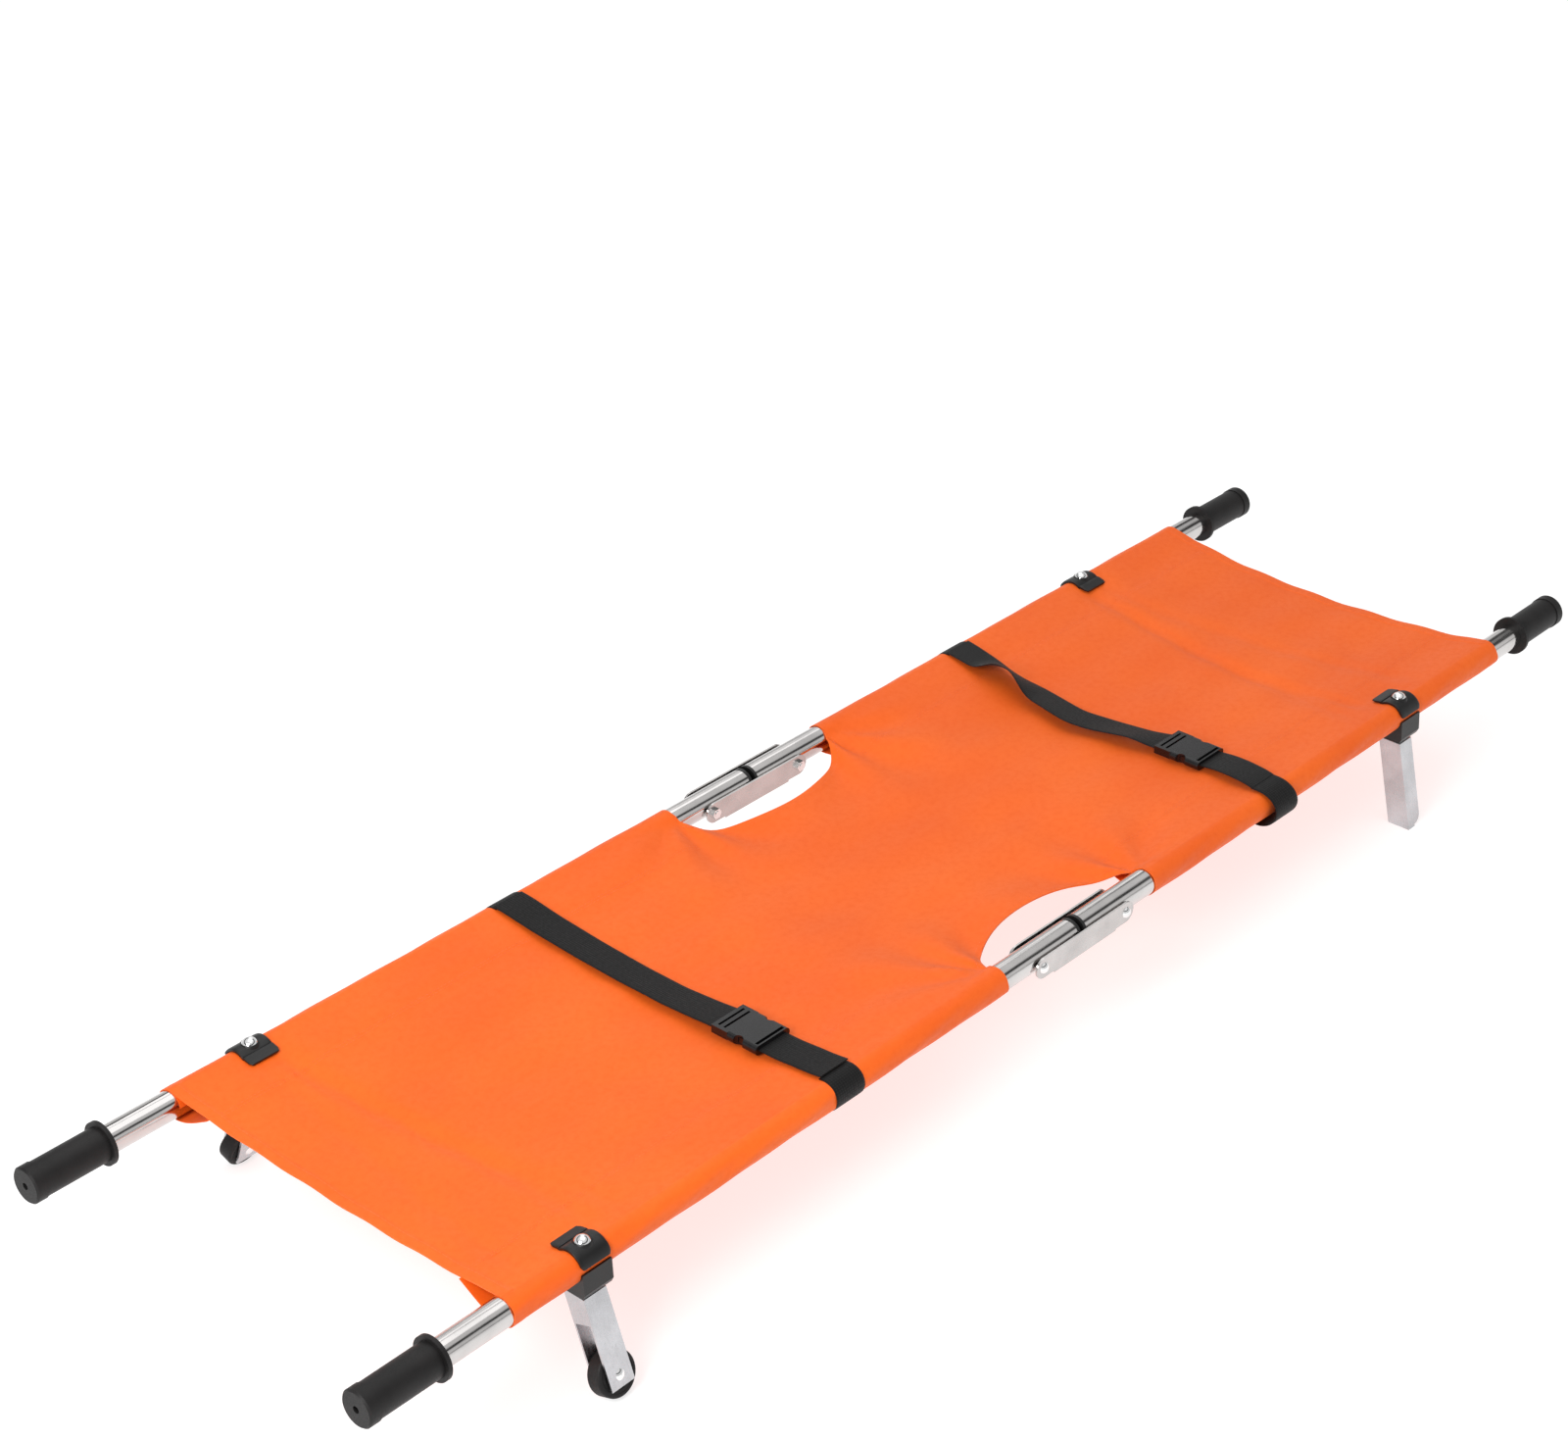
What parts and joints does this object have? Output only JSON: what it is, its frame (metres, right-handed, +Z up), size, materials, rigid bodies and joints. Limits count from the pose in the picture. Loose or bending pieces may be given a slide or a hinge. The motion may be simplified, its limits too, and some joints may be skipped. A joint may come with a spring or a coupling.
{
  "type": "folding stretcher",
  "caption": "Folding carry stretcher with hinged tube rails, swivelling legs on spreader rods, rollers, a pocketed fabric bed and buckled patient straps.",
  "frame": {"origin": "middle of the overall length and width, on the floor plane under the feet and rollers", "axes": "+X along the rails from the roller end to the foot end, +Y across towards the left rail, +Z up"},
  "size_m": [2.09, 0.5992, 0.1792],
  "materials": {
    "tube": "polished metal tube",
    "grip": "matte black moulded grip",
    "plug": "black plastic end plug",
    "cloth": "coated orange woven fabric",
    "clamp_plastic": "black moulded plastic",
    "bolt": "bright plated steel",
    "leg_steel": "bright zinc-plated sheet",
    "rod_steel": "bright zinc-plated rod",
    "roller": "black solid rubber",
    "bracket_steel": "bright pressed channel",
    "webbing": "black woven webbing",
    "buckle": "black moulded plastic"
  },
  "bodies": {
    "half_wheel_left": {"rail_tube_wheel_left": "tube", "grip_wheel_left": "grip", "end_plug_wheel_left": "plug", "pocket_wheel_left": "cloth", "saddle_wheel_left": "clamp_plastic", "block_wheel_left": "clamp_plastic", "clamp_bolt_wheel_left": "bolt", "loop_wheel_left": "webbing", "bed_wheel": "cloth", "strap_wheel": "webbing"},
    "fold_bracket_left": {"bracket_left": "bracket_steel", "hinge_bolts_left": "bolt", "bed_middle": "cloth"},
    "half_foot_left": {"rail_tube_foot_left": "tube", "grip_foot_left": "grip", "end_plug_foot_left": "plug", "pocket_foot_left": "cloth", "saddle_foot_left": "clamp_plastic", "block_foot_left": "clamp_plastic", "clamp_bolt_foot_left": "bolt", "loop_foot_left": "webbing", "bed_foot": "cloth", "strap_foot": "webbing"},
    "swivel_wheel_left": {"leg_wheel_left": "leg_steel", "rod_wheel_left": "rod_steel", "axle_left": "bolt", "pivot_wheel": "bolt"},
    "swivel_wheel_right": {"leg_wheel_right": "leg_steel", "rod_wheel_right": "rod_steel", "axle_right": "bolt"},
    "half_wheel_right": {"rail_tube_wheel_right": "tube", "grip_wheel_right": "grip", "end_plug_wheel_right": "plug", "pocket_wheel_right": "cloth", "saddle_wheel_right": "clamp_plastic", "block_wheel_right": "clamp_plastic", "clamp_bolt_wheel_right": "bolt", "loop_wheel_right": "webbing"},
    "fold_bracket_right": {"bracket_right": "bracket_steel", "hinge_bolts_right": "bolt"},
    "half_foot_right": {"rail_tube_foot_right": "tube", "grip_foot_right": "grip", "end_plug_foot_right": "plug", "pocket_foot_right": "cloth", "saddle_foot_right": "clamp_plastic", "block_foot_right": "clamp_plastic", "clamp_bolt_foot_right": "bolt", "loop_foot_right": "webbing"},
    "swivel_foot_left": {"leg_foot_left": "leg_steel", "rod_foot_left": "rod_steel", "pivot_foot": "bolt"},
    "swivel_foot_right": {"leg_foot_right": "leg_steel", "rod_foot_right": "rod_steel"},
    "roller_left": {"wheel_left": "roller"},
    "roller_right": {"wheel_right": "roller"},
    "socket_slider_wheel": {"socket_wheel": "buckle"},
    "socket_slider_foot": {"socket_foot": "buckle"},
    "tongue_slider_wheel": {"tongue_wheel": "buckle"},
    "tongue_slider_foot": {"tongue_foot": "buckle"}
  },
  "joints": [
    {"name": "fold", "type": "hinge", "parent": "half_wheel_left", "child": "fold_bracket_left", "pos_m": [-0.055, 0.25, 0.14775], "axis": [0, 1, 0], "range_deg": [0, 84]},
    {"name": "fold_foot_left", "type": "hinge", "parent": "fold_bracket_left", "child": "half_foot_left", "pos_m": [0.095, 0.25, 0.14775], "axis": [0, 1, 0], "range_deg": [0, 84]},
    {"name": "spread", "type": "hinge", "parent": "half_wheel_left", "child": "swivel_wheel_left", "pos_m": [-0.752, 0.25, 0.152], "axis": [0, 0, -1], "range_deg": [0, 73], "deforming": ["bed_wheel", "bed_middle", "bed_foot", "strap_wheel", "strap_foot"]},
    {"name": "spread_wheel_mid", "type": "hinge", "parent": "swivel_wheel_left", "child": "swivel_wheel_right", "pos_m": [-0.752, 0, 0.152], "axis": [0, 0, -1], "range_deg": [-146, 0]},
    {"name": "spread_wheel_right", "type": "hinge", "parent": "swivel_wheel_right", "child": "half_wheel_right", "pos_m": [-0.752, -0.25, 0.152], "axis": [0, 0, -1], "range_deg": [0, 73]},
    {"name": "fold_wheel_right", "type": "hinge", "parent": "half_wheel_right", "child": "fold_bracket_right", "pos_m": [-0.055, -0.25, 0.14775], "axis": [0, 1, 0], "range_deg": [0, 84]},
    {"name": "fold_foot_right", "type": "hinge", "parent": "fold_bracket_right", "child": "half_foot_right", "pos_m": [0.095, -0.25, 0.14775], "axis": [0, 1, 0], "range_deg": [0, 84]},
    {"name": "spread_foot_left", "type": "hinge", "parent": "half_foot_left", "child": "swivel_foot_left", "pos_m": [0.682, 0.25, 0.152], "axis": [0, 0, 1], "range_deg": [0, 73]},
    {"name": "spread_foot_mid", "type": "hinge", "parent": "swivel_foot_left", "child": "swivel_foot_right", "pos_m": [0.682, 0, 0.152], "axis": [0, 0, 1], "range_deg": [-146, 0]},
    {"name": "wheel_left_spin", "type": "hinge", "parent": "swivel_wheel_left", "child": "roller_left", "pos_m": [-0.752, 0.28265, 0.0259], "axis": [0, 0.9397, 0.342], "continuous": true},
    {"name": "wheel_right_spin", "type": "hinge", "parent": "swivel_wheel_right", "child": "roller_right", "pos_m": [-0.752, -0.28265, 0.0259], "axis": [0, 0.9397, -0.342], "continuous": true},
    {"name": "buckle_wheel_shift", "type": "slide", "parent": "half_wheel_left", "child": "socket_slider_wheel", "axis": [0, 1, 0], "range_m": [0, 0.282]},
    {"name": "buckle_foot_shift", "type": "slide", "parent": "half_foot_left", "child": "socket_slider_foot", "axis": [0, 1, 0], "range_m": [0, 0.282]},
    {"name": "buckle_wheel_release", "type": "slide", "parent": "socket_slider_wheel", "child": "tongue_slider_wheel", "axis": [0, 1, 0], "range_m": [0, 0.032]},
    {"name": "buckle_foot_release", "type": "slide", "parent": "socket_slider_foot", "child": "tongue_slider_foot", "axis": [0, 1, 0], "range_m": [0, 0.032]}
  ],
  "couplings": [
    {"joint": "fold_foot_left", "follows": "fold", "ratio": 1},
    {"joint": "fold_wheel_right", "follows": "fold", "ratio": 1},
    {"joint": "fold_foot_right", "follows": "fold", "ratio": 1},
    {"joint": "spread_wheel_mid", "follows": "spread", "ratio": -2},
    {"joint": "spread_wheel_right", "follows": "spread", "ratio": 1},
    {"joint": "spread_foot_left", "follows": "spread", "ratio": 1},
    {"joint": "spread_foot_mid", "follows": "spread", "ratio": -2},
    {"joint": "buckle_wheel_shift", "follows": "spread", "m_per_rad": 0.22133},
    {"joint": "buckle_foot_shift", "follows": "spread", "m_per_rad": 0.22133}
  ]
}
